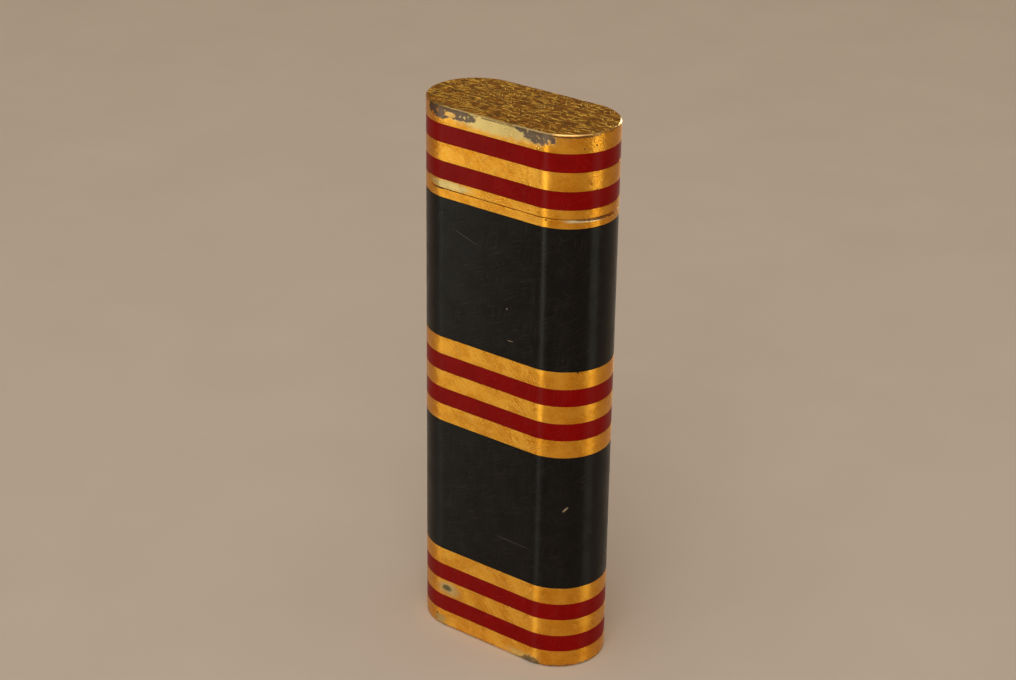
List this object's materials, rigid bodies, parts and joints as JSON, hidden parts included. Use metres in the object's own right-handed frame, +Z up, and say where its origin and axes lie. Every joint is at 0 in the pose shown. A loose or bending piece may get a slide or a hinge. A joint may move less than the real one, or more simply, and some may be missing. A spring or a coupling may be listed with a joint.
{
  "type": "pocket gas lighter",
  "caption": "Slim oval pocket gas lighter in gold plate with red and black lacquer bands; its lid flips up on an end hinge over a burner, wind guard and striker wheel.",
  "frame": {"origin": "middle of the base's underside, on the surface the lighter stands on", "axes": "+Z up through the lid, +X towards the end of the lid that lifts (the hinge is at the -X end), -Y and +Y out of the two broad faces"},
  "size_m": [0.0254, 0.012, 0.07],
  "materials": {
    "gold_plate": "worn gold plate on brass, finely scratched, thin at the top edge",
    "red_lacquer": "deep red lacquer, gloss, fine wipe marks",
    "black_lacquer": "black lacquer, satin gloss, fine scratches",
    "brass": "turned or pressed plain brass",
    "steel": "bright spring or pin steel",
    "hard_steel": "hardened dark steel, cut teeth",
    "nickel_plate": "nickel plate, satin, slightly smoked",
    "rubber": "black nitrile rubber",
    "flint_alloy": "grey cerium iron alloy, matt",
    "sintered_bronze": "sintered bronze, matt and grainy"
  },
  "bodies": {
    "case": {"body_casing": "gold_plate", "black_field_lower": "black_lacquer", "black_field_upper": "black_lacquer", "red_band_base_lower": "red_lacquer", "red_band_base_upper": "red_lacquer", "red_band_middle_lower": "red_lacquer", "red_band_middle_upper": "red_lacquer", "base_plate": "gold_plate", "fuel_tank": "brass", "deck_plate": "nickel_plate", "hinge_barrel": "gold_plate", "hinge_pin": "steel", "lid_spring": "steel", "spring_screw": "steel", "lever_pin": "steel", "burner_valve_body": "brass", "filter_disc": "sintered_bronze", "valve_nut": "brass", "valve_spring": "steel", "windshield": "nickel_plate", "regulator_seal": "rubber", "striker_bracket": "nickel_plate", "deck_screw_front": "steel", "deck_screw_back": "steel", "flint_tube": "brass", "flint": "flint_alloy", "flint_plunger": "brass", "flint_spring": "steel", "filler_valve_body": "brass", "filler_seal": "rubber", "filler_spring": "steel"},
    "lid": {"lid_shell": "gold_plate", "red_band_lid_lower": "red_lacquer", "red_band_lid_upper": "red_lacquer", "lid_liner": "brass", "lid_hinge_leaf": "brass"},
    "striker": {"striker_wheel": "hard_steel", "thumb_rim_front": "nickel_plate", "thumb_rim_back": "nickel_plate", "striker_axle": "steel"},
    "gas_lever": {"gas_lever": "steel"},
    "burner_jet": {"burner_jet": "brass", "jet_seal": "rubber"},
    "flame_regulator": {"flame_regulator": "brass"},
    "flint_screw": {"flint_screw": "gold_plate"},
    "filler_stem": {"filler_stem": "brass"}
  },
  "joints": [
    {"name": "lid_hinge", "type": "hinge", "parent": "case", "child": "lid", "pos_m": [-0.01175, 0, 0.05983], "axis": [0, -1, 0], "range_deg": [0, 95]},
    {"name": "striker_spin", "type": "hinge", "parent": "case", "child": "striker", "pos_m": [0.0067, 0, 0.0628], "axis": [0, 1, 0], "continuous": true},
    {"name": "gas_lever_tilt", "type": "hinge", "parent": "case", "child": "gas_lever", "pos_m": [-0.0087, 0, 0.0602], "axis": [0, -1, 0], "range_deg": [0, 7.2]},
    {"name": "burner_jet_lift", "type": "slide", "parent": "case", "child": "burner_jet", "axis": [0, 0, 1], "range_m": [0, 0.00062], "deforming": ["valve_spring"]},
    {"name": "flame_regulator_turn", "type": "hinge", "parent": "case", "child": "flame_regulator", "pos_m": [-0.0038, 0, 0], "axis": [0, 0, 1], "range_deg": [-120, 120]},
    {"name": "flint_screw_turn", "type": "hinge", "parent": "case", "child": "flint_screw", "pos_m": [0.0067, 0, 0], "axis": [0, 0, 1], "continuous": true},
    {"name": "filler_valve_press", "type": "slide", "parent": "case", "child": "filler_stem", "axis": [0, 0, 1], "range_m": [0, 0.001], "stiffness_N_per_m": 400, "deforming": ["filler_spring"]}
  ],
  "couplings": [
    {"joint": "gas_lever_tilt", "follows": "lid_hinge", "ratio": 0.0737},
    {"joint": "burner_jet_lift", "follows": "lid_hinge", "m_per_rad": 0.000361}
  ]
}
